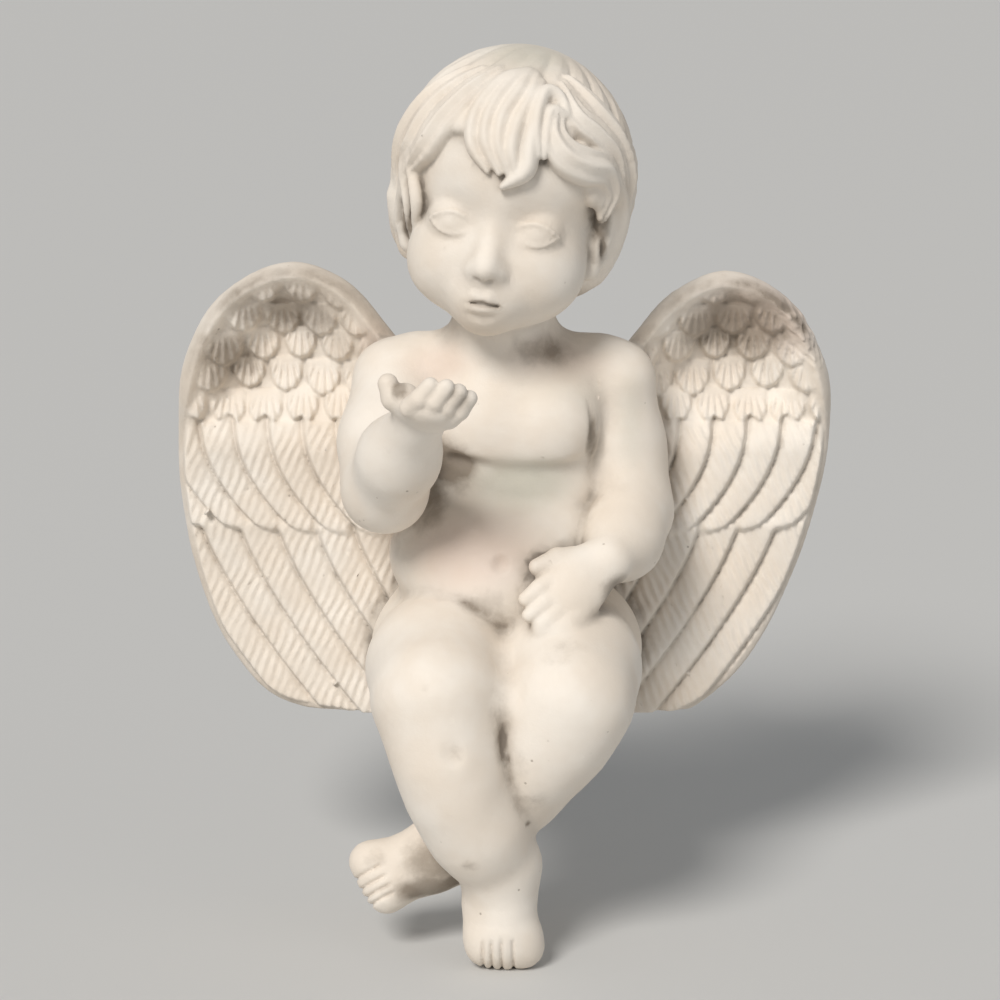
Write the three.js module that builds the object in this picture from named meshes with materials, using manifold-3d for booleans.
// Winged child (putto) shelf figure, cast in one piece: it sits on the edge of a shelf with its crossed legs
// hanging in front, one hand held out palm up and the other on its thigh.
// Millimetres. +Z up, -Y the way the figure faces, +X its own left. The origin is on the flat seat, at Z = 0.
//
// The figure is one distance field: rounded solids joined with fillets, with the wings, hair and feathers
// added as relief. The field is meshed, thinned to a triangle budget, and cut flat where it meets the shelf.
import * as THREE from "three";
import Module from "manifold-3d";

// ---- Driving dimensions ----

const CROWN_HEIGHT = 148; // seat to the top of the head
const SEAT_FRONT = -8; // the shelf's front edge, ahead of the hips
const MESH_CELL = 1.25; // spacing of the sampling grid
const TRIANGLE_BUDGET = 9400;
const STONE = { color: 0xe4dcd0, roughness: 0.72, metalness: 0 };

// The head's size, place and tilt, in degrees about the figure's own axes
const HEAD = { centre: [0.8, -4, CROWN_HEIGHT - 29], turn: [4, 8, -8] };
const CAP = { centre: [0, 1.8, 2], radii: [24.6, 27.2, 26.7] }; // the hair's outside, in the head's frame

// ---- Distance fields: f(x, y, z) is negative inside ----

const { abs, atan2, cos, floor, max, min, sin, sqrt, PI } = Math;
const radians = (degrees) => (degrees * PI) / 180;
const clamp = (v, low, high) => min(max(v, low), high);
const smooth = (v) => v * v * (3 - 2 * v);
const step = (from, to, v) => smooth(clamp((v - from) / (to - from), 0, 1));
const mix = (a, b, t) => a + (b - a) * t;

// Joins two distances with a fillet k wide, takes the second from the first, or keeps what is in both.
function blend(a, b, k) {
  const h = max(k - abs(a - b), 0) / k;
  return min(a, b) - h * h * k * 0.25;
}
const carve = (a, b, k) => -blend(-a, b, k);
const common = (a, b, k) => -blend(-a, -b, k);

function ball([cx, cy, cz], r) {
  return (x, y, z) => sqrt((x - cx) ** 2 + (y - cy) ** 2 + (z - cz) ** 2) - r;
}

// The axes of a frame turned by pitch, roll and yaw in degrees.
function turned([pitch, roll, yaw]) {
  const turn = new THREE.Euler(radians(pitch), radians(roll), radians(yaw), "ZYX");
  const e = new THREE.Matrix4().makeRotationFromEuler(turn).elements;
  return [e.slice(0, 3), e.slice(4, 7), e.slice(8, 11)];
}

// The axes of a frame whose X runs along one direction and whose Z faces another as nearly as it can.
function facing(along, up) {
  const x = new THREE.Vector3(...along).normalize();
  const y = new THREE.Vector3(...up).cross(x).normalize();
  return [x, y, x.clone().cross(y)].map((axis) => axis.toArray());
}

// A field given in a frame of its own, put at a place; mirrored swaps its left and right.
function placed(field, [cx, cy, cz], [u, v, w], mirrored = false) {
  const flip = mirrored ? -1 : 1;
  return (x, y, z) => {
    const [a, b, c] = [x - cx, y - cy, z - cz];
    return field(
      u[0] * a + u[1] * b + u[2] * c,
      flip * (v[0] * a + v[1] * b + v[2] * c),
      w[0] * a + w[1] * b + w[2] * c,
    );
  };
}

function egg(centre, [rx, ry, rz], turn) {
  const round = (x, y, z) => {
    const near = sqrt((x / rx) ** 2 + (y / ry) ** 2 + (z / rz) ** 2);
    const slope = sqrt((x / rx ** 2) ** 2 + (y / ry ** 2) ** 2 + (z / rz ** 2) ** 2);
    return slope > 0 ? (near * (near - 1)) / slope : -min(rx, ry, rz);
  };
  if (turn) return placed(round, centre, turned(turn));
  const [cx, cy, cz] = centre;
  return (x, y, z) => round(x - cx, y - cy, z - cz);
}

// A round bar from a to b whose radius runs from ra to rb.
function taper([ax, ay, az], [bx, by, bz], ra, rb) {
  const [dx, dy, dz] = [bx - ax, by - ay, bz - az];
  const scale = 1 / (dx * dx + dy * dy + dz * dz);
  return (x, y, z) => {
    const [px, py, pz] = [x - ax, y - ay, z - az];
    const t = clamp((px * dx + py * dy + pz * dz) * scale, 0, 1);
    return sqrt((px - t * dx) ** 2 + (py - t * dy) ** 2 + (pz - t * dz) ** 2) - mix(ra, rb, t);
  };
}

function join(k, ...fields) {
  return (x, y, z) => {
    let d = fields[0](x, y, z);
    for (let i = 1; i < fields.length; i++) d = blend(d, fields[i](x, y, z), k);
    return d;
  };
}

// Bars through [x, y, z, radius] joints.
function chain(joints, k = 1) {
  const bars = joints.slice(1).map((b, i) => taper(joints[i], b, joints[i][3], b[3]));
  return join(k, ...bars);
}

// A field that is only worked out near its own sphere, to save time.
const FAR = 14;
function within(centre, reach, field) {
  const bound = ball(centre, reach);
  return (x, y, z) => {
    const d = bound(x, y, z);
    return d > FAR ? d : field(x, y, z);
  };
}

// Smooth values through [position, value] stations.
function stations(table) {
  return (v) => {
    let i = 1;
    while (i < table.length - 1 && v > table[i][0]) i++;
    const [[p, a], [q, b]] = [table[i - 1], table[i]];
    return mix(a, b, step(p, q, v));
  };
}

// A smooth curve through points, as evenly spaced samples.
function curveThrough(points, count, closed = false) {
  const curve = new THREE.CatmullRomCurve3(
    points.map((p) => new THREE.Vector3(p[0], p[1], p[2] ?? 0)),
    closed,
    "centripetal",
  );
  return Array.from({ length: count + 1 }, (_, i) => curve.getPoint(i / count).toArray());
}

// ---- Head, in its own frame: the face looks along -Y ----

const EYE = { x: 8.6, z: -6, ball: 5.2, width: 4.4, open: 2.1 };

// A lid: an arc over the eyeball, rise above its middle.
function lid(side, rise, radius) {
  const reach = EYE.ball + 0.35;
  const joints = [-1, -0.6, -0.2, 0.2, 0.6, 1].map((t) => {
    const [x, z] = [EYE.width * t, rise * (1 - t * t)];
    const y = -16.9 - sqrt(reach * reach - x * x - z * z) + 0.5;
    return [side * EYE.x + x, y, EYE.z + z, radius * (1 - 0.35 * t * t)];
  });
  return chain(joints, 0.3);
}

function face() {
  const skull = join(
    5,
    egg([0, 1.5, 4], [22.4, 25, 23.6]),
    egg([0.6, -7.2, -13.4], [17.4, 16.4, 15.8]),
    ball([9.2, -12.8, -15.2], 8.6),
    ball([-9.2, -12.8, -15.2], 8.6),
    ball([0, -17.4, -22.6], 6.2),
  );
  const sockets = [1, -1].map((s) => egg([s * 8.8, -26.4, -4.6], [6.2, 5.2, 4.2]));
  const eyes = [1, -1].map((s) =>
    join(
      0.3,
      ball([s * EYE.x, -16.9, EYE.z], EYE.ball),
      lid(s, EYE.open, 0.75),
      lid(s, -EYE.open * 0.85, 0.5),
    ),
  );
  const nose = join(
    1.6,
    taper([0, -21.4, -6], [0, -24.8, -13], 1.8, 2.7),
    ball([0, -26.2, -14], 2.8),
    ball([2.7, -24.6, -15], 1.8),
    ball([-2.7, -24.6, -15], 1.8),
  );
  const nostrils = join(0.3, ball([1.5, -27, -17], 0.8), ball([-1.5, -27, -17], 0.8));
  const muzzle = egg([0, -20.4, -20.6], [6.4, 4.6, 4.6]);
  const upperLip = chain(
    [
      [-4.3, -22.8, -21.2, 0.6],
      [-1.5, -24.9, -20, 1.15],
      [0, -25.1, -20.3, 1],
      [1.5, -24.9, -20, 1.15],
      [4.3, -22.8, -21.2, 0.6],
    ],
    0.4,
  );
  const lowerLip = egg([0, -24.2, -23], [3.3, 1.6, 1.4]);
  const mouth = egg([0, -26, -21.6], [3.2, 1.9, 0.5]);
  const chinFold = egg([0, -26.6, -25.4], [4.4, 2.4, 1]);
  return (x, y, z) => {
    let d = skull(x, y, z);
    for (const socket of sockets) d = carve(d, socket(x, y, z), 4);
    for (const eye of eyes) d = blend(d, eye(x, y, z), 0.7);
    d = blend(d, nose(x, y, z), 2.4);
    d = blend(d, muzzle(x, y, z), 4);
    d = blend(d, upperLip(x, y, z), 0.9);
    d = blend(d, lowerLip(x, y, z), 0.8);
    d = carve(d, mouth(x, y, z), 0.6);
    d = carve(d, chinFold(x, y, z), 1.6);
    return carve(d, nostrils(x, y, z), 0.5);
  };
}

function ear(side) {
  const upper = egg([side * 20.2, -4.6, -7.6], [3, 4.5, 6.6]);
  const shell = join(1.5, upper, ball([side * 18.8, -5.4, -14.4], 2.5));
  const bowl = egg([side * 23.2, -7, -8], [2.6, 2.5, 4.2]);
  return (x, y, z) => carve(shell(x, y, z), bowl(x, y, z), 0.9);
}

// The height of the hairline at each bearing from the face's middle, in degrees
const HAIRLINE = stations([
  [0, 11],
  [26, 11.5],
  [38, 5.5],
  [50, 0],
  [60, -6],
  [72, -13],
  [82, -20],
  [110, -25],
  [180, -27],
]);
const CROWN = [3, 9, 27]; // where the hair grows from

// A point on the hair's outside, at a bearing in degrees and a height, lifted off it.
function onHair(bearing, height, lift) {
  const up = clamp((height - CAP.centre[2]) / CAP.radii[2], -1, 1);
  const out = sqrt(1 - up * up);
  const a = radians(bearing);
  return [
    CAP.centre[0] + (CAP.radii[0] * out + lift * out) * sin(a),
    CAP.centre[1] - (CAP.radii[1] * out + lift * out) * cos(a),
    height + lift * up,
  ];
}

// A lock of hair through [bearing, height, radius] stations, lifted off the cap or sunk in it.
function lock(path, lift) {
  const count = 3 * (path.length - 1);
  const line = curveThrough(path.map(([bearing, height]) => onHair(bearing, height, lift)), count);
  const radii = curveThrough(path.map(([, , r], i) => [i, r]), count);
  return chain(line.map((p, i) => [...p, radii[i][1]]), 0.6);
}

const FRINGE = [
  [[2, 25, 1.6], [-11, 23, 2.1], [-19, 16.5, 2], [-16, 11, 1.7], [-6, 6.5, 0.8]],
  [[6, 25, 1.6], [-4, 23, 2.1], [-11, 17, 2], [-9, 12, 1.8], [0, 6.5, 0.9]],
  [[10, 25, 1.6], [4, 22, 2.1], [-3, 17, 2], [-2, 12, 1.8], [4, 7, 1]],
  [[16, 24.5, 1.6], [12, 21, 2.1], [6, 16, 2.1], [5, 11, 2], [9, 6.5, 1.2]],
  [[20, 23.5, 1.6], [15, 18, 2.1], [14, 12, 2.3], [13, 7.5, 2.2], [4, 4, 1.2]],
];
const CURL = [
  [[34, 19, 1.3], [30, 21.2, 1.6], [23, 21.8, 1.8], [17.5, 19.5, 1.7], [16, 16, 1.5], [18, 11, 1]],
  [[32, 18, 1.2], [25, 18.6, 1.4], [21.5, 14.5, 1.3], [21, 10.5, 0.8]],
];
const SWEPT_LEFT = [
  [[28, 19, 1.6], [26, 14.5, 2.4], [32, 11, 3.2], [43, 9, 3.5], [54, 8, 3.2], [62, 3.5, 2.1], [60, -2, 1.1]],
  [[36, 23, 1.6], [41, 18, 2.5], [51, 15, 2.8], [62, 11, 2.6], [70, 4, 1.5]],
  [[46, 24, 1.6], [55, 19.5, 2.5], [67, 14, 2.8], [77, 6, 2.4], [79, -3, 1.2]],
];
const SWEPT_RIGHT = [
  [[-20, 24.5, 1.6], [-30, 20, 2.6], [-37, 14.5, 3], [-43, 8.5, 2.8], [-55, 2, 1]],
  [[-34, 24, 1.6], [-44, 19.5, 2.4], [-51, 14, 2.6], [-56, 8, 2.3], [-65, 3, 0.9]],
  [[-50, 23, 1.6], [-60, 17, 2.6], [-67, 10, 2.6], [-73, 3, 1.8], [-77, -4, 0.9]],
];
const SIDE_LOCKS = [
  [[-80, -6, 3], [-83, -13, 3.3], [-81, -20, 2.8], [-76, -26, 1.3]],
  [[60, 7, 2.2], [71, 1, 2.9], [78, -7, 3.1], [79, -15, 2.9], [74, -22, 1.6]],
];
const SIDEBURNS = [
  [[-54, 3, 1.3], [-47, -4, 1.4], [-51, -10, 1.2], [-56, -16, 0.6]],
  [[-62, 2, 1.5], [-56, -5, 1.4], [-60, -12, 1.3], [-66, -19, 0.8]],
];

// The hair that hangs round the sides and back, in locks worked out from their bearing
function hangingLocks() {
  return Array.from({ length: 14 }, (_, i) => {
    const bearing = 84 + i * 14.8;
    const drop = HAIRLINE(bearing > 180 ? 360 - bearing : bearing);
    const long = i % 2 ? 0 : 2;
    return [
      [bearing - 6, 15, 1.4],
      [bearing + 1, 7, 2.6],
      [bearing - 3, -5, 3],
      [bearing - 4, drop + 7 - long, 2.8],
      [bearing + 3, drop - long, 1],
    ];
  });
}

// Strands combed out from the crown: a ridge pattern over the cap, deeper away from the crown.
function combed(x, y, z) {
  const [ox, oy, oz] = [x - CAP.centre[0], y - CAP.centre[1], z - CAP.centre[2]];
  const length = sqrt(ox * ox + oy * oy + oz * oz) + 1e-6;
  const crownLength = sqrt(CROWN[0] ** 2 + CROWN[1] ** 2 + CROWN[2] ** 2);
  const along = (ox * CROWN[0] + oy * CROWN[1] + oz * CROWN[2]) / (length * crownLength);
  const away = Math.acos(clamp(along, -1, 1));
  const round = atan2(ox / length - CROWN[0] / crownLength, -(oy / length - CROWN[1] / crownLength));
  const ridge = abs(cos(11 * (round + 0.45 * away) + 0.7 * sin(5 * away)));
  return 1.3 * step(0.2, 1.2, away) * (ridge - 0.6);
}

function hair() {
  const cap = join(6, egg(CAP.centre, CAP.radii), egg([-0.6, 4.5, -9.5], [24, 20.5, 19]));
  const layers = [
    [[...FRINGE, ...SIDEBURNS, ...SIDE_LOCKS], -0.9],
    [CURL, 0.4],
    [SWEPT_LEFT, -0.3],
    [SWEPT_RIGHT, -0.7],
    [hangingLocks(), -1.9],
  ];
  const locks = layers.flatMap(([paths, lift]) =>
    paths.map((path) => {
      const [bearing, height] = path[floor(path.length / 2)];
      return within(onHair(bearing, height, 0), 20, lock(path, lift));
    }),
  );
  return (x, y, z) => {
    const bearing = abs(atan2(x - CAP.centre[0], -(y - CAP.centre[1]))) * (180 / PI);
    const line = (HAIRLINE(bearing) - z) * 0.8;
    let d = common(cap(x, y, z) - combed(x, y, z), line, 2.6);
    for (const each of locks) d = blend(d, each(x, y, z), 0.7);
    return d;
  };
}

function head() {
  const parts = [face(), ear(1), ear(-1)];
  const curls = hair();
  const whole = (x, y, z) => {
    let d = parts[0](x, y, z);
    d = blend(d, parts[1](x, y, z), 1);
    d = blend(d, parts[2](x, y, z), 1);
    return blend(d, curls(x, y, z), 0.8);
  };
  return within(HEAD.centre, 33, placed(whole, HEAD.centre, turned(HEAD.turn)));
}

// ---- Torso ----

function torso() {
  const chest = join(
    7,
    egg([0, 1, 66], [20.5, 14.5, 16.5]),
    egg([8.5, -7, 69], [9.5, 7.6, 8.5]),
    egg([-9, -7, 69], [9.5, 7.6, 8.5]),
    taper([-19, 3, 78.4], [19, 3, 78], 8.4, 8.4),
  );
  const belly = join(8, egg([-1.5, -2.5, 39.5], [24, 18.5, 16.5]), egg([-1, -7, 33], [17, 15, 13]));
  const waist = egg([0.5, 2.5, 54], [22.5, 14.5, 14]);
  const hips = join(6, egg([-0.5, 4, 17], [28, 19, 17]), egg([0, 5, 10], [27, 18, 13.5]));
  const neck = taper([-0.5, 1, 78], [-1, -2, 97], 11.5, 10.5);
  const navel = ball([-1.6, -22.6, 41.5], 1.3);
  const back = taper([0, 21.5, 30], [0, 20, 78], 1.6, 1.6); // the furrow down the spine
  const chestFold = chain([
    [-11, -12.4, 62, 0.3],
    [-2, -13.6, 58.8, 0.6],
    [7, -13.6, 58.6, 0.7],
    [16, -10.4, 60, 0.5],
  ]);
  const armpit = chain([[17.6, -10, 74, 0.3], [18, -10.4, 66, 0.8], [17.2, -9.6, 56, 0.5]]);
  return (x, y, z) => {
    let d = blend(chest(x, y, z), belly(x, y, z), 3);
    d = blend(d, waist(x, y, z), 3);
    d = blend(d, hips(x, y, z), 7);
    d = blend(d, neck(x, y, z), 6);
    d = carve(d, navel(x, y, z), 1.6);
    d = carve(d, chestFold(x, y, z), 3.4);
    d = carve(d, armpit(x, y, z), 1.4);
    return carve(d, back(x, y, z), 4);
  };
}

// ---- Arms and hands ----

// A hand in its own frame: fingers along +X, thumb towards +Y, back of the hand up +Z. The fingers have these
// lengths and bend down by these angles at their two joints, and lean off the thumb.
function hand({ size, lengths, bends, lean, thick, thumb }) {
  const palm = egg([6.8, 0.2, 0], [7.6, 6.2, 3.2]);
  const heel = egg([3.4, 2.6, -1], [4.8, 3.6, 2.9]);
  const web = ball([5.8, 5, -2.6], 2.9);
  const fingers = lengths.map((reach, i) => {
    const joints = [[11 - 0.5 * abs(i - 1), 4.6 - 2.9 * i, 0, thick]];
    bends.forEach((bend, j) => {
      const [x, y, z] = joints[j];
      const half = reach / 2;
      joints.push([x + half * cos(bend), y - lean * half, z - half * sin(bend), thick * [0.97, 0.85][j]]);
    });
    return chain(joints, 0.5);
  });
  const thumbBar = chain([[3, 3.4, -1, 2.5], ...thumb], 0.8);
  const whole = (x, y, z) => {
    let d = blend(blend(palm(x, y, z), heel(x, y, z), 2), web(x, y, z), 2);
    for (const finger of fingers) d = blend(d, finger(x, y, z), 0.5);
    return blend(d, thumbBar(x, y, z), 1.1);
  };
  return (x, y, z) => whole(x / size, y / size, z / size) * size;
}

// The arm held out in front, palm up
const RIGHT_ARM = {
  joints: [
    [-24.5, 1.5, 76.5, 8.8],
    [-26, -11, 65, 8.4],
    [-25.6, -21.5, 57.2, 7.5],
    [-22.2, -33, 66.2, 7.1],
    [-17.7, -44.6, 76, 5.4],
  ],
  hand: {
    place: [-17.7, -44.8, 76.4],
    axes: facing([0.25, -0.94, 0.25], [-0.22, -0.33, -0.92]),
    shape: {
      size: 0.96,
      lengths: [6.8, 7.4, 7.2, 6.4],
      bends: [0.6, 1.05],
      lean: 0.33,
      thick: 2.05,
      thumb: [[3.8, 7, -2, 2.4], [4.2, 8.9, -4.6, 2.1]],
    },
  },
};
// The arm that rests on the thigh
const LEFT_ARM = {
  joints: [
    [23, 2.5, 76, 8.8],
    [24.8, 2.8, 61, 7.8],
    [26, 0.5, 48, 8.1],
    [24.2, -10.5, 44, 7.1],
    [20.9, -20.6, 42, 5.4],
  ],
  hand: {
    place: [20.2, -22.4, 41.7],
    axes: facing([-0.74, -0.42, -0.52], [0.3, -0.85, 0.43]),
    shape: {
      size: 1.02,
      lengths: [7.4, 8.4, 8.2, 7],
      bends: [0.05, 0.2],
      lean: 0,
      thick: 1.7,
      thumb: [[7, 6.8, -1.2, 2.2], [11.4, 8.2, -1.4, 1.7]],
    },
  },
};

function arm({ joints, hand: { place, axes, shape } }, mirrored) {
  const limb = chain(joints, 7);
  const end = placed(hand(shape), place, axes, mirrored);
  return (x, y, z) => blend(limb(x, y, z), end(x, y, z), 2.2);
}

// ---- Legs and feet ----

// Each toe's end from the big one out: how far short of the foot's reach, how far across, and how round
const TOES = [[-3.7, 4.5, 3.6], [-2.4, 0.8, 2.3], [-2.5, -1.4, 2.2], [-2.9, -3.4, 2.1], [-3.6, -5.1, 2]];

// A foot in its own frame: toes along +X, big toe towards +Y, the instep up +Z.
function foot(reach) {
  const mitten = join(
    4.5,
    egg([-3.5, 0, -4], [6, 6, 5.8]),
    egg([6.5, -2, -5.2], [9, 6, 4.4]),
    taper([0, 0, -0.5], [11, 0.2, -3.6], 8.3, 6.6),
    taper([reach - 4.8, 3.4, -5.2], [reach - 4.8, -3.4, -5.2], 4.8, 4.4),
  );
  const toes = TOES.map(([x, y, r]) => ball([reach + x, y, -5.8], r));
  return (x, y, z) => {
    let d = mitten(x, y, z);
    for (const toe of toes) d = blend(d, toe(x, y, z), 1.6);
    return d;
  };
}

const RIGHT_LEG = {
  joints: [
    [-13.8, 2, 18, 15.4],
    [-14.8, -20, 18.4, 13.7],
    [-14.7, -34, 15.8, 12.3],
    [-12.6, -37.5, 4, 10],
    [-10.2, -37.5, -4, 9.2],
    [-6.4, -35.5, -12, 9.1],
    [-2.2, -32, -20.5, 8.3],
  ],
  foot: { reach: 20.2, place: [-1.4, -31, -22], axes: facing([0.03, -0.42, -0.91], [0, -0.9, 0.42]) },
};
const LEFT_LEG = {
  joints: [
    [13.6, 2, 18, 15.3],
    [12.8, -20, 18, 13.9],
    [12.6, -32, 15, 12],
    [9.4, -32, 7.5, 10.4],
    [4.6, -30, 1, 9.7],
    [0.4, -27, -5.5, 9.2],
    [-4.8, -23.5, -12, 8.2],
    [-9.5, -20.5, -18, 6.8],
  ],
  foot: { reach: 23.6, place: [-9.5, -20.5, -18.5], axes: facing([-0.88, -0.36, -0.31], [-0.1, -0.9, 0.35]) },
};

function leg({ joints, foot: { reach, place, axes } }, mirrored) {
  const limb = chain(joints, 6);
  const toes = placed(foot(reach), place, axes, mirrored);
  return (x, y, z) => blend(limb(x, y, z), toes(x, y, z), 3);
}

// ---- Wings ----

const WING = {
  rootDepth: 11, // how far behind the hips the sheet starts
  sweep: 0.12, // how much it falls back for each millimetre outwards
  thickness: 5.5,
  rim: { width: 5.2, height: 5 },
  hollow: 8,
  soft: 1.5, // how wide the step at a feather's edge is
  coverts: 65.5, // the height where the scale feathers end
  scale: { width: 8.2, height: 6.6 },
  // Each row of long feathers: where its bands start, over what drop they sweep inwards, how far, how wide
  secondaries: { top: 67, drop: 27, sweep: 14, bend: 2.2, width: 7.6, end: 39.5 },
  primaries: { top: 43, drop: 42, sweep: 26, bend: 1.35, width: 8.6 },
};

// [outwards, height] from the shoulder over the crest, down the outer edge and back along the hem
const RIGHT_WING = [
  [12, 66],
  [24.5, 84.6],
  [35.5, 96.6],
  [47, 100.2],
  [61.5, 93.8],
  [70.2, 80.5],
  [72.9, 58.2],
  [70.5, 34.5],
  [63.1, 14.1],
  [52, 2],
  [37.4, -1],
  [20, -3],
  [8, 20],
];
const LEFT_WING = [
  [12, 64],
  [25.4, 82.4],
  [36, 94],
  [47, 98.2],
  [60.3, 92.8],
  [69.5, 78],
  [71.2, 63],
  [68.4, 45],
  [62.5, 27],
  [52.9, 9.8],
  [40, -0.5],
  [20, -3],
  [8, 20],
];

// The distance inwards from a closed outline, read from a grid that is filled once.
function inwards(outline) {
  const line = curveThrough(outline, 120, true);
  const [low, size, count] = [-20, 1, 140];
  const table = new Float32Array(count * count);
  for (let j = 0; j < count; j++)
    for (let i = 0; i < count; i++) {
      const [u, v] = [low + i * size, low + j * size];
      let [best, inside] = [Infinity, false];
      for (let k = 0; k < line.length - 1; k++) {
        const [[au, av], [bu, bv]] = [line[k], line[k + 1]];
        const [du, dv] = [bu - au, bv - av];
        const t = clamp(((u - au) * du + (v - av) * dv) / (du * du + dv * dv), 0, 1);
        best = min(best, (u - au - t * du) ** 2 + (v - av - t * dv) ** 2);
        if (av > v !== bv > v && u < au + (du * (v - av)) / dv) inside = !inside;
      }
      table[j * count + i] = sqrt(best) * (inside ? 1 : -1);
    }
  return (u, v) => {
    const a = clamp((u - low) / size, 0, count - 1.001);
    const b = clamp((v - low) / size, 0, count - 1.001);
    const [i, j] = [floor(a), floor(b)];
    const at = j * count + i;
    const [s, t] = [a - i, b - j];
    return mix(mix(table[at], table[at + 1], s), mix(table[at + count], table[at + count + 1], s), t);
  };
}

// One row of long feathers, in bands that sweep inwards as they go down: each stands proud along its outer
// edge and dips under the next one in. Returns the relief, and how far the feather's end is rounded up here.
function longFeathers(u, v, { top, drop, sweep, bend, width }) {
  const down = max(top - v, 0) / drop;
  const band = (u + sweep * down ** bend) / width;
  const t = band - floor(band);
  const proud = 0.1 + 1.9 * sqrt(t) * (1.25 - 0.25 * t ** 3);
  return { relief: proud * (1 - step(1 - WING.soft / width, 1, t)), tip: 2 * (2 * t - 1) ** 2 };
}

// Rows of small overlapping scale feathers, each a round-ended fan.
function scaleFeathers(u, v) {
  const { width, height } = WING.scale;
  let best = 0;
  for (let lift = 0; lift < 2; lift++) {
    const row = floor((v - WING.coverts) / height) + lift;
    if (row < 0) continue;
    const across = (u + (row % 2 ? width / 2 : 0)) / width;
    const x = (2 * (across - floor(across)) - 1) * 0.98;
    const below = (WING.coverts + (row + 1) * height - v) / (height * 1.28);
    const inside = 1 - x * x - max(below - 0.3, 0) ** 2 * 2.05;
    if (below > 0) best = max(best, (0.4 + below * 1.6) * step(0, WING.soft / 3, inside));
  }
  return best;
}

function feathers(u, v) {
  const primaries = longFeathers(u, v, WING.primaries);
  const secondaries = longFeathers(u, v, WING.secondaries);
  const middle = step(0, WING.soft, v - WING.secondaries.end - secondaries.tip);
  const upper = step(0, WING.soft, v - WING.coverts + 1.8 * abs(cos((PI * u) / WING.scale.width)));
  const long = mix(primaries.relief, secondaries.relief + 0.8, middle);
  return mix(long, scaleFeathers(u, v) + 1.6, upper);
}

function wing(side, outline) {
  const edge = inwards(outline);
  return (x, y, z) => {
    const [u, v] = [side * x, z];
    if (u < -4 || u > 90 || y < -12 || y > 40) return 6;
    const e = edge(u, v);
    const high = step(20, 90, v);
    const crest = step(58, 76, v);
    const sheet = WING.rootDepth + WING.sweep * (u - 20) + 3 * (1 - high) * step(30, 75, u);
    const rimWidth = mix(1.7, WING.rim.width, crest);
    const rim = mix(0.6, WING.rim.height, crest) * (1 - step(0.45, 1.15, e / rimWidth));
    const bowl = WING.hollow * crest * step(rimWidth * 0.7, rimWidth * 3, e);
    const field = step(rimWidth * 0.6, rimWidth * 1.2, e);
    const front = sheet + bowl - rim - feathers(u, v) * field;
    const behind = 0.45 * feathers(u, v) * step(2, 5, e);
    const back = sheet + bowl * 0.42 + mix(4.2, WING.thickness, high) + behind;
    const slab = common((front - y) * 0.8, (y - back) * 0.85, 2);
    return common(slab, -e, mix(2, 5, crest));
  };
}

// ---- The whole figure ----

export function figure() {
  const body = torso();
  const skull = head();
  const limbs = [
    within([-21, -25, 68], 40, arm(RIGHT_ARM, false)),
    within([21, -10, 55], 38, arm(LEFT_ARM, true)),
    within([-9, -20, -5], 46, leg(RIGHT_LEG, false)),
    within([-2, -18, -2], 46, leg(LEFT_LEG, true)),
  ];
  const shinDent = egg([-10.8, -49.4, 8.6], [2.2, 1.3, 2.8]);
  const lap = join(3, taper([-1, -14, 23], [-1.5, -35, 15], 6, 5), egg([10.5, -24.5, 33.5], [7, 4.5, 6]));
  const wings = [wing(-1, RIGHT_WING), wing(1, LEFT_WING)];
  return (x, y, z) => {
    let d = blend(body(x, y, z), skull(x, y, z), 2.5);
    d = blend(d, limbs[0](x, y, z), 2.5);
    d = blend(d, limbs[1](x, y, z), 2);
    const legs = blend(blend(limbs[2](x, y, z), limbs[3](x, y, z), 2.2), lap(x, y, z), 3);
    d = carve(blend(d, legs, 3), shinDent(x, y, z), 1.5);
    for (const each of wings) d = blend(d, each(x, y, z), 3.5);
    return d;
  };
}

export const BOUNDS = { low: [-77, -70, -50], high: [77, 40, CROWN_HEIGHT + 4] };

// ---- Meshing ----

const CORNERS = Array.from({ length: 8 }, (_, i) => [i & 1, (i >> 1) & 1, (i >> 2) & 1]);
const CELL_EDGES = CORNERS.flatMap((_, a) => [1, 2, 4].filter((b) => !(a & b)).map((b) => [a, a | b]));

// Whether each of the 256 ways that a cell's corners can lie in and out gives one single sheet of surface:
// the corners inside hang together along the cell's edges, and so do the corners outside.
const SINGLE_SHEET = Array.from({ length: 256 }, (_, pattern) => {
  const sets = CORNERS.map((_, i) => i);
  for (let pass = 0; pass < 4; pass++)
    for (const [a, b] of CELL_EDGES)
      if (((pattern >> a) & 1) === ((pattern >> b) & 1)) sets[a] = sets[b] = min(sets[a], sets[b]);
  return new Set(sets).size <= 2;
});

// The field sampled on a grid. Blocks of the grid that lie clear of the surface take their middle's value.
function sampled(field, low, n, cell) {
  const values = new Float32Array(n[0] * n[1] * n[2]);
  const block = 6;
  const reach = block * cell * 1.3;
  const at = (i, axis) => low[axis] + i * cell;
  for (let k = 0; k < n[2]; k += block)
    for (let j = 0; j < n[1]; j += block)
      for (let i = 0; i < n[0]; i += block) {
        const half = (block - 1) / 2;
        const middle = field(at(i + half, 0), at(j + half, 1), at(k + half, 2));
        const clear = abs(middle) > reach;
        for (let c = k; c < min(k + block, n[2]); c++)
          for (let b = j; b < min(j + block, n[1]); b++)
            for (let a = i; a < min(i + block, n[0]); a++)
              values[a + n[0] * (b + n[1] * c)] = clear ? middle : field(at(a, 0), at(b, 1), at(c, 2));
      }
  return values;
}

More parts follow.
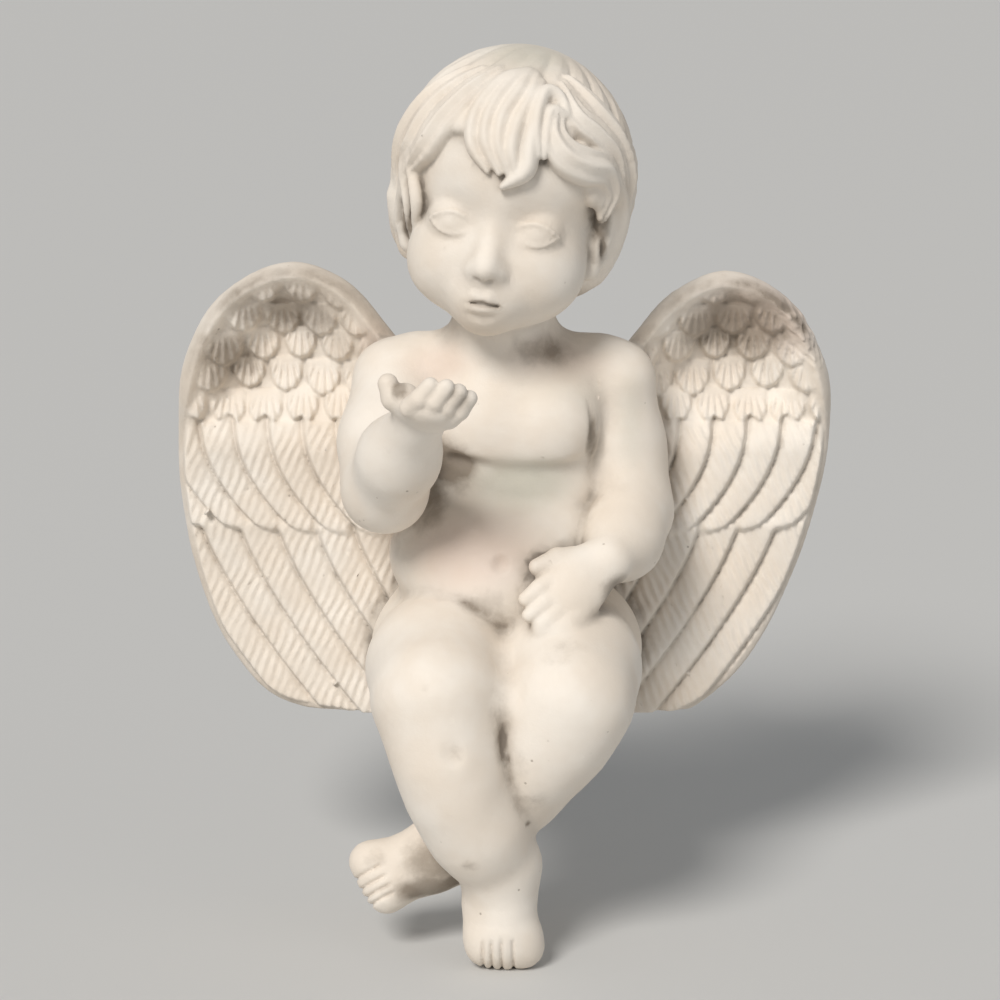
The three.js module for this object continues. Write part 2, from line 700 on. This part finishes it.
// A closed mesh of the field's surface: one vertex in each grid cell that the surface crosses, settled onto
// the surface, and one quad round each grid edge that it crosses.
export function surfaceOf(field, { low, high }, cell) {
  const n = [0, 1, 2].map((i) => Math.ceil((high[i] - low[i]) / cell) + 1);
  const strides = [1, n[0], n[0] * n[1]];
  const values = sampled(field, low, n, cell);
  const offsets = CORNERS.map(([a, b, c]) => a + b * strides[1] + c * strides[2]);
  const patternAt = (base) => {
    let pattern = 0;
    for (let i = 0; i < 8; i++) if (values[base + offsets[i]] < 0) pattern |= 1 << i;
    return pattern;
  };
  // A cell with two sheets in it would pinch the mesh, so its shallowest empty corner is filled in.
  let cells;
  for (let filled = 1; filled > 0; ) {
    filled = 0;
    cells = [];
    for (let k = 0; k < n[2] - 1; k++)
      for (let j = 0; j < n[1] - 1; j++)
        for (let i = 0; i < n[0] - 1; i++) {
          const base = i + j * strides[1] + k * strides[2];
          const pattern = patternAt(base);
          if (pattern === 0 || pattern === 255) continue;
          cells.push([base, i, j, k]);
          if (SINGLE_SHEET[pattern]) continue;
          const empty = offsets.filter((offset) => values[base + offset] >= 0);
          const shallow = empty.reduce((a, b) => (values[base + a] < values[base + b] ? a : b));
          values[base + shallow] = -0.02 * cell;
          filled += 1;
        }
  }
  const vertexOf = new Map();
  const points = [];
  for (const [base, ...place] of cells) {
    const v = offsets.map((offset) => values[base + offset]);
    const crossed = CELL_EDGES.filter(([a, b]) => v[a] < 0 !== v[b] < 0);
    const sum = [0, 0, 0];
    for (const [a, b] of crossed) {
      const t = v[a] / (v[a] - v[b]);
      for (let axis = 0; axis < 3; axis++) sum[axis] += mix(CORNERS[a][axis], CORNERS[b][axis], t);
    }
    vertexOf.set(base, points.length);
    points.push(place.map((c, axis) => low[axis] + (c + sum[axis] / crossed.length) * cell));
  }
  const triangles = [];
  for (const base of vertexOf.keys())
    for (let axis = 0; axis < 3; axis++) {
      const [p, q] = [strides[(axis + 1) % 3], strides[(axis + 2) % 3]];
      const [v0, v1] = [values[base], values[base + strides[axis]]];
      if (v0 < 0 === v1 < 0) continue;
      const [a, b, c, d] = [base, base - p, base - p - q, base - q].map((c) => vertexOf.get(c));
      if (v0 < 0) triangles.push([a, b, c], [a, c, d]);
      else triangles.push([a, c, b], [a, d, c]);
    }
  const nudge = 0.5 * cell;
  for (const p of points) {
    const here = field(...p);
    const slope = [0, 1, 2].map((axis) => {
      const q = [...p];
      q[axis] += nudge;
      return (field(...q) - here) / nudge;
    });
    const steep = max(slope[0] ** 2 + slope[1] ** 2 + slope[2] ** 2, 0.25);
    const move = clamp(here / steep, -0.3 * cell, 0.3 * cell);
    for (let axis = 0; axis < 3; axis++) p[axis] -= move * slope[axis];
  }
  return { points, triangles };
}

// Thins a closed mesh to a number of triangles by collapsing its edges, least change first (quadric errors).
export function thinned({ points, triangles }, budget) {
  const at = points.map((p) => [...p]);
  const faces = triangles.map((t) => [...t]);
  const around = at.map(() => new Set());
  const quadric = at.map(() => new Float64Array(10));
  const normalOf = ([a, b, c], moved, where) => {
    const [p, q, r] = [a, b, c].map((i) => (i === moved ? where : at[i]));
    const [ux, uy, uz] = [q[0] - p[0], q[1] - p[1], q[2] - p[2]];
    const [vx, vy, vz] = [r[0] - p[0], r[1] - p[1], r[2] - p[2]];
    const n = [uy * vz - uz * vy, uz * vx - ux * vz, ux * vy - uy * vx];
    const length = sqrt(n[0] ** 2 + n[1] ** 2 + n[2] ** 2);
    return { n: n.map((c) => c / (length || 1)), length };
  };
  faces.forEach((f, i) => {
    const { n, length } = normalOf(f);
    const d = -(n[0] * at[f[0]][0] + n[1] * at[f[0]][1] + n[2] * at[f[0]][2]);
    const plane = [...n, d];
    f.forEach((v) => {
      around[v].add(i);
      let slot = 0;
      for (let a = 0; a < 4; a++)
        for (let b = a; b < 4; b++) quadric[v][slot++] += plane[a] * plane[b] * length;
    });
  });
  const errorAt = (q, [x, y, z]) =>
    q[0] * x * x + 2 * q[1] * x * y + 2 * q[2] * x * z + 2 * q[3] * x + q[4] * y * y +
    2 * q[5] * y * z + 2 * q[6] * y + q[7] * z * z + 2 * q[8] * z + q[9];
  const neighbours = (v) => {
    const found = new Set();
    for (const f of around[v]) for (const w of faces[f]) if (w !== v) found.add(w);
    return found;
  };
  const best = (a, b) => {
    const q = quadric[a].map((c, i) => c + quadric[b][i]);
    const choices = [0, 0.25, 0.5, 0.75, 1].map((t) => at[a].map((c, i) => mix(c, at[b][i], t)));
    const [p, r] = [at[a], at[b]];
    const size = (p[0] - r[0]) ** 2 + (p[1] - r[1]) ** 2 + (p[2] - r[2]) ** 2;
    const costs = choices.map((c) => errorAt(q, c));
    const pick = costs.indexOf(Math.min(...costs));
    return { cost: costs[pick] + 1e-4 * size, where: choices[pick] };
  };
  // A binary heap of edges; stale entries are known by the stamps of their ends.
  const stamp = at.map(() => 0);
  const heap = [];
  const swap = (i, j) => ([heap[i], heap[j]] = [heap[j], heap[i]]);
  const push = (a, b) => {
    heap.push({ a, b, s: stamp[a], t: stamp[b], ...best(a, b) });
    for (let i = heap.length - 1; i > 0; ) {
      const up = (i - 1) >> 1;
      if (heap[up].cost <= heap[i].cost) break;
      swap(i, up);
      i = up;
    }
  };
  const pop = () => {
    const top = heap[0];
    const last = heap.pop();
    if (heap.length) heap[0] = last;
    for (let i = 0; ; ) {
      let least = i;
      for (const child of [2 * i + 1, 2 * i + 2])
        if (child < heap.length && heap[child].cost < heap[least].cost) least = child;
      if (least === i) break;
      swap(i, least);
      i = least;
    }
    return top;
  };
  for (let v = 0; v < at.length; v++) for (const w of neighbours(v)) if (v < w) push(v, w);
  let count = faces.length;
  while (count > budget && heap.length) {
    const { a, b, s, t, where } = pop();
    if (stamp[a] !== s || stamp[b] !== t) continue;
    const shared = [...neighbours(a)].filter((v) => neighbours(b).has(v));
    if (shared.length !== 2) continue;
    const flips = [a, b].some((v) =>
      [...around[v]].some((f) => {
        if (faces[f].includes(a) && faces[f].includes(b)) return false;
        const [before, after] = [normalOf(faces[f]), normalOf(faces[f], v, where)];
        const turned = before.n[0] * after.n[0] + before.n[1] * after.n[1] + before.n[2] * after.n[2];
        return turned < 0.3 || after.length < 1e-3;
      }),
    );
    if (flips) continue;
    for (const f of [...around[b]]) {
      if (faces[f].includes(a)) {
        for (const v of faces[f]) around[v].delete(f);
        faces[f] = null;
        count--;
      } else {
        faces[f] = faces[f].map((v) => (v === b ? a : v));
        around[a].add(f);
      }
    }
    around[b].clear();
    at[a] = where;
    quadric[a] = quadric[a].map((c, i) => c + quadric[b][i]);
    stamp[b] = -1;
    stamp[a]++;
    for (const w of neighbours(a)) push(a, w);
  }
  const kept = faces.filter(Boolean);
  const index = new Map();
  kept.flat().forEach((v) => index.has(v) || index.set(v, index.size));
  return {
    points: [...index.keys()].map((v) => at[v]),
    triangles: kept.map((f) => f.map((v) => index.get(v))),
  };
}

// ---- Solid: the thinned mesh with the shelf's corner taken out of it ----

const wasm = await Module();
wasm.setup();

function solidOf(vertices, triangles) {
  const mesh = new wasm.Mesh({
    numProp: 3,
    vertProperties: new Float32Array(vertices.flat()),
    triVerts: new Uint32Array(triangles.flat()),
  });
  return new wasm.Manifold(mesh);
}

// The space that the shelf takes: everything under the seat and behind its front edge.
function shelf() {
  const [width, depth, height] = [200, 80, 80];
  const box = new THREE.BoxGeometry(width, depth, height);
  box.translate(0, SEAT_FRONT + depth / 2, -height / 2);
  const position = box.getAttribute("position");
  const corners = new Map();
  const vertices = [];
  const index = Array.from(box.index.array, (i) => {
    const p = [position.getX(i), position.getY(i), position.getZ(i)];
    const key = p.join();
    if (!corners.has(key)) corners.set(key, vertices.push(p) - 1);
    return corners.get(key);
  });
  const triangles = [];
  for (let i = 0; i < index.length; i += 3) triangles.push(index.slice(i, i + 3));
  return solidOf(vertices, triangles);
}

function geometryOf(solid) {
  const mesh = solid.getMesh();
  const geometry = new THREE.BufferGeometry();
  geometry.setAttribute("position", new THREE.BufferAttribute(new Float32Array(mesh.vertProperties), 3));
  geometry.setIndex(new THREE.BufferAttribute(new Uint32Array(mesh.triVerts), 1));
  geometry.computeVertexNormals();
  return geometry;
}

const { points, triangles } = thinned(surfaceOf(figure(), BOUNDS, MESH_CELL), TRIANGLE_BUDGET);
const putto = new THREE.Mesh(
  geometryOf(solidOf(points, triangles).subtract(shelf())),
  new THREE.MeshStandardMaterial(STONE),
);
putto.name = "putto";

const group = new THREE.Group();
group.add(putto);
export default group;
